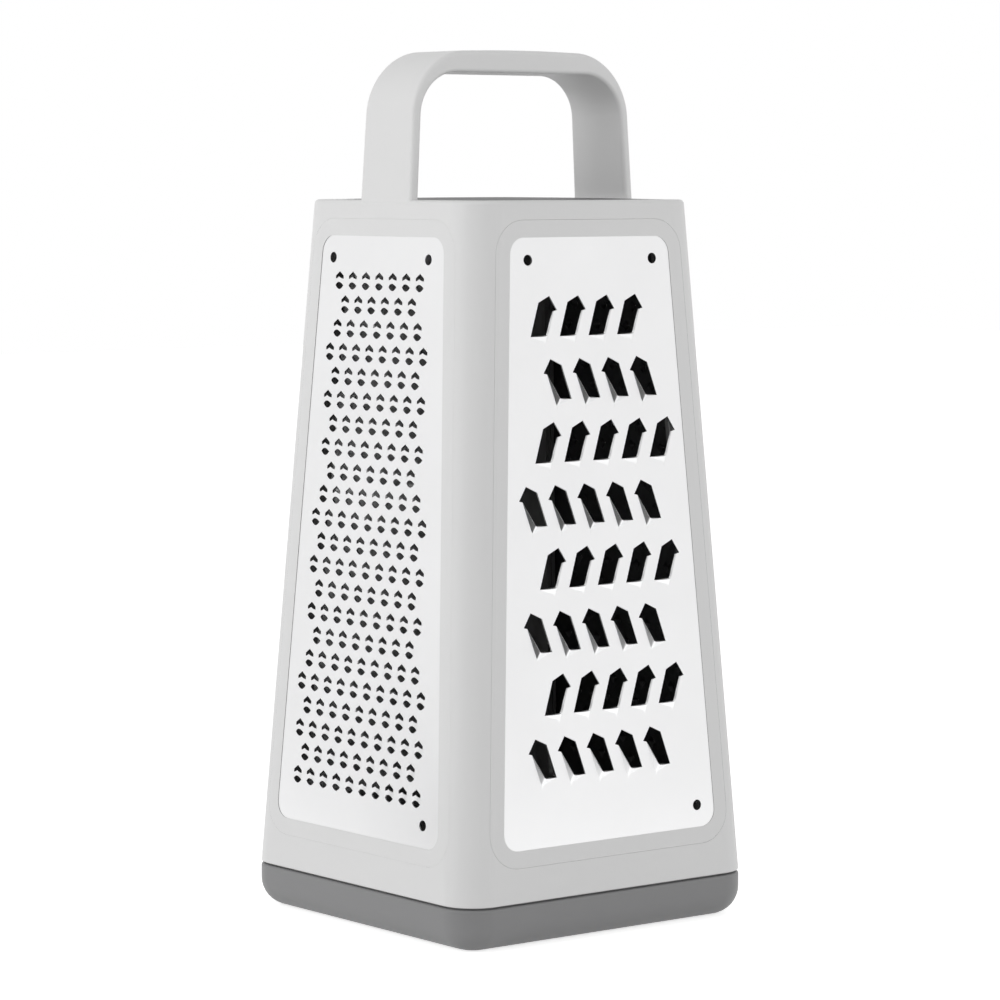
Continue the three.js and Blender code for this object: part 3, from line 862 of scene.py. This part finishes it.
def burr():
    """One burr in its patch of sheet."""
    tooth = start("tooth", "circle", vertices=8, radius=BURR_FOOT / 2)
    waist = BURR_FOOT + (BURR_RIM - BURR_FOOT) * BURR_WAIST
    for before, after in [(BURR_FOOT, waist), (waist, BURR_RIM)]:
        raise_faces(BURR_RISE / 2)
        bpy.ops.transform.resize(value=(after / before, after / before, 1))
    pick(tooth, "verts", lambda vert: abs(abs(vert.co.x) - abs(vert.co.y)) < TINY)
    bpy.ops.transform.resize(value=(BURR_SQUARE, BURR_SQUARE, 1))

    def between_points(vert):
        on_axis = min(abs(vert.co.x), abs(vert.co.y)) < TINY
        return on_axis and vert.co.z > BURR_RISE - TINY

    pick(tooth, "verts", between_points)
    bpy.ops.transform.translate(value=(0, 0, -BURR_TEAR))
    pick(tooth, "edges", lambda edge: len(edge.link_faces) == 1 and not at_level(0)(edge))
    bpy.ops.mesh.mark_seam()
    across = RASP_PITCH / 2
    along = RASP_ROW_PITCH / 2
    lower = [(-across, -along), (0, -along), (across, -along)]
    upper = [(across, along), (0, along), (-across, along)]
    loop_of(tooth, [Vector(corner).to_3d() for corner in lower + upper])
    fill_between(tooth)
    only(tooth)
    return tooth


rasp_rows = staggered_rows(burr(), RASP_TOP, RASP_BOTTOM, RASP_SIDE, RASP_PITCH, RASP_ROW_PITCH)
press_plate("rasp_burrs", rasp_rows, SIDES.index("right"), "rasp_plate", steel)

# Slicer, at the back: one wide slot. The sheet below it is pressed out into a ramp, which rises
# before the slot and ends in a blade level with the slot's top. The sheet's back is bright.
SLICER_TOP = 80 * MM
SLICER_SIDE = 8 * MM
SLOT_HEIGHT = 6 * MM
BLADE_RISE = 2.6 * MM
BLADE_RAMP = 12 * MM
BLADE_OVERLAP = 5.7 * MM
RAMP_STEPS = 6
RAMP_COLUMNS = 24
RAMP_END = 2.5 * MM
SLOT_ROOM = 1 * MM
SLICER_BACK = (0.9, 0.9, 0.904, 1)


def slicer_slot(half, s):
    """A slot with its ramp, in a patch of sheet a little larger than both."""
    lines = RAMP_STEPS + 3
    slot = start("slot", "grid", size=1, x_subdivisions=RAMP_COLUMNS, y_subdivisions=lines)
    shape = bmesh.from_edit_mesh(slot.data)
    heights = [-BLADE_RAMP - SLOT_ROOM]
    climb = (BLADE_RAMP + BLADE_OVERLAP) / RAMP_STEPS
    heights += [climb * i - BLADE_RAMP for i in range(RAMP_STEPS + 1)]
    heights += [SLOT_HEIGHT, SLOT_HEIGHT + SLOT_ROOM]
    spots = {}
    for vert in shape.verts:
        column = round((vert.co.x + 0.5) * RAMP_COLUMNS)
        line = round((vert.co.y + 0.5) * lines)
        spots[vert] = (column, line)
        x = vert.co.x * 2 * half * RAMP_COLUMNS / (RAMP_COLUMNS - 2)
        if column in (0, RAMP_COLUMNS):
            x = math.copysign(half + SLOT_ROOM, x)
        z = 0
        if 1 <= line <= RAMP_STEPS + 1:
            up = (line - 1) / RAMP_STEPS
            near = min(1, max(0, half - abs(x)) / RAMP_END)
            z = BLADE_RISE * up * up * (3 - 2 * up) * near * near * (3 - 2 * near)
        vert.co = (x, s + heights[line], z)
    bmesh.update_edit_mesh(slot.data)

    def in_slot(face):
        inside = all(0 < spots[vert][0] < RAMP_COLUMNS for vert in face.verts)
        return inside and {spots[vert][1] for vert in face.verts} == {RAMP_STEPS + 1, RAMP_STEPS + 2}

    for face in shape.faces:
        if in_slot(face):
            for edge in face.edges:
                edge.seam = True
    pick(slot, "faces", in_slot)
    bpy.ops.mesh.delete(type="FACE")
    only(slot)
    return slot


blade = slant - WINDOW_TOP - SLICER_TOP
slot = slicer_slot(window_half(blade) - SLICER_SIDE, blade)
slicer_steel = satin_steel("slicer_steel", SLICER_BACK)
press_plate("slicer_blade", [slot], SIDES.index("back"), "slicer_plate", slicer_steel, foot_side=-1)

# Studio: a plain pale floor, a white surround and soft light from both sides. The camera and
# reflections see floor and surround as white, except that the studio is dark on the camera's side.
# Reflections also see painted light on the floor: it glows strongest near the grater, over its shadow.
FLOOR_SIZE = 6
FLOOR_WHITE = (0.85, 0.85, 0.85, 1)
FLOOR_GLOW = (0.7, 0.7, 0.7, 1)
GLOW_NEAR = 0.12
GLOW_FAR = 0.3
GLOW_LEFT = 0.5
AMBIENT = 0.66
OVERHEAD = 0.42
DARK_SIDE = 0.08
DARK_FROM = 0.5
DARK_TO = 0.85
OVERHEAD_FROM = 0.2
CAMERA_TURN = math.radians(-38.19)
CAMERA_DIP = math.radians(4.849)
CAMERA_PLACE = (-0.6772, -0.8616, 0.2105)
CAMERA_LENS = 139.05
CAMERA_SENSOR = 36
LAMP_SIZE = 1.2
LAMP_AIM = (0, 0, 0.1)

only(None)
bpy.ops.mesh.primitive_plane_add(size=FLOOR_SIZE)
floor = bpy.context.object
floor.name = "studio_floor"
floor_paint, floor_shader, signal = new_finish("pale_floor", Roughness=0.9)
floor_shader.inputs["Base Color"].default_value = FLOOR_WHITE
floor_shader.inputs["Emission Strength"].default_value = 1
watched = signal.node("ShaderNodeLightPath", {}, {}, out="Is Camera Ray")
mirrored = signal.node("ShaderNodeLightPath", {}, {}, out="Is Glossy Ray")
place = signal.node("ShaderNodeTexCoord", {}, {}, out="Object")
away = signal.node("ShaderNodeVectorMath", {"operation": "LENGTH"}, {0: place}, out="Value")
# Painted light: reflections see the floor glow strongest near the grater, which fills its shadow there.
fade = {"Value": away, "From Min": GLOW_NEAR, "From Max": GLOW_FAR, "To Min": 1, "To Max": GLOW_LEFT}
painted_glow_near_grater = signal.node("ShaderNodeMapRange", {}, fade)
glow = signal.maths("MAXIMUM", watched, mirrored * painted_glow_near_grater)
wire(floor_shader, Emission_Color=signal.blend(glow, (0, 0, 0, 1), FLOOR_GLOW))
floor.data.materials.append(floor_paint)

# Card: a black sheet that lies on the studio's floor to the left. Only reflections see it, and it
# gives the flanks of the teeth their grey.
CARD_NEAR = 0.1
CARD_LENGTH = 1.2
CARD_WIDTH = 0.5
CARD_LIFT = 0.001
CARD_TURN = math.radians(-66)
CARD_BLACK = (0.02, 0.02, 0.02, 1)

only(None)
bpy.ops.mesh.primitive_plane_add(size=1)
card = bpy.context.object
card.name = "black_card"
card.data.transform(Matrix.Diagonal((CARD_WIDTH, CARD_LENGTH, 1, 1)))
card.data.transform(Matrix.Translation((0, -CARD_NEAR - CARD_LENGTH / 2, CARD_LIFT)))
card.data.transform(Matrix.Rotation(CARD_TURN, 4, "Z"))
card_paint, card_shader, signal = new_finish("black_card", Roughness=0.9)
card_shader.inputs["Base Color"].default_value = CARD_BLACK
card.data.materials.append(card_paint)
card.visible_camera = False
card.visible_diffuse = False
card.visible_shadow = False


def soft_light(name, place, power):
    """A square lamp at a place, turned towards the grater."""
    lamp = bpy.data.lights.new(name, "AREA")
    lamp.size = LAMP_SIZE
    lamp.energy = power
    stand = bpy.data.objects.new(name, lamp)
    bpy.context.scene.collection.objects.link(stand)
    stand.location = place
    stand.visible_glossy = False
    stand.rotation_euler = (Vector(LAMP_AIM) - Vector(place)).to_track_quat("-Z", "Y").to_euler()


soft_light("left_softbox", (-1.5, 0.3, 0.6), 10)
soft_light("right_softbox", (0.7, -1.4, 0.6), 5.2)

camera_data = bpy.data.cameras.new("camera")
camera_data.lens = CAMERA_LENS
camera_data.sensor_width = CAMERA_SENSOR
camera = bpy.data.objects.new("camera", camera_data)
bpy.context.scene.collection.objects.link(camera)
camera.location = CAMERA_PLACE
camera.rotation_euler = (math.pi / 2 - CAMERA_DIP, 0, CAMERA_TURN)
bpy.context.scene.camera = camera

world = bpy.data.worlds.new("studio")
bpy.context.scene.world = world
world.use_nodes = True
signal = Signal(world.node_tree)
watched = signal.node("ShaderNodeLightPath", {}, {}, out="Is Camera Ray")
mirrored = signal.node("ShaderNodeLightPath", {}, {}, out="Is Glossy Ray")
heading = signal.node("ShaderNodeTexCoord", {}, {}, out="Generated")
camera_side = (math.sin(CAMERA_TURN), -math.cos(CAMERA_TURN), 0)
product = {"operation": "DOT_PRODUCT"}
facing = signal.node("ShaderNodeVectorMath", product, {0: heading, 1: camera_side}, out="Value")
fade = {"Value": facing, "From Min": DARK_FROM, "From Max": DARK_TO, "To Min": 1, "To Max": DARK_SIDE}
surround = signal.node("ShaderNodeMapRange", {"interpolation_type": "SMOOTHSTEP"}, fade)
height = signal.node("ShaderNodeVectorMath", product, {0: heading, 1: (0, 0, 1)}, out="Value")
fade = {"Value": height, "From Min": OVERHEAD_FROM, "From Max": 1, "To Min": AMBIENT, "To Max": OVERHEAD}
ambient = signal.node("ShaderNodeMapRange", {}, fade)
strength = ambient + (surround - ambient) * mirrored
strength = strength + (1 - strength) * watched
shader = world.node_tree.nodes["Background"]
shader.inputs["Color"].default_value = (1, 1, 1, 1)
world.node_tree.links.new(strength.socket, shader.inputs["Strength"])
bpy.context.scene.view_settings.view_transform = "Standard"
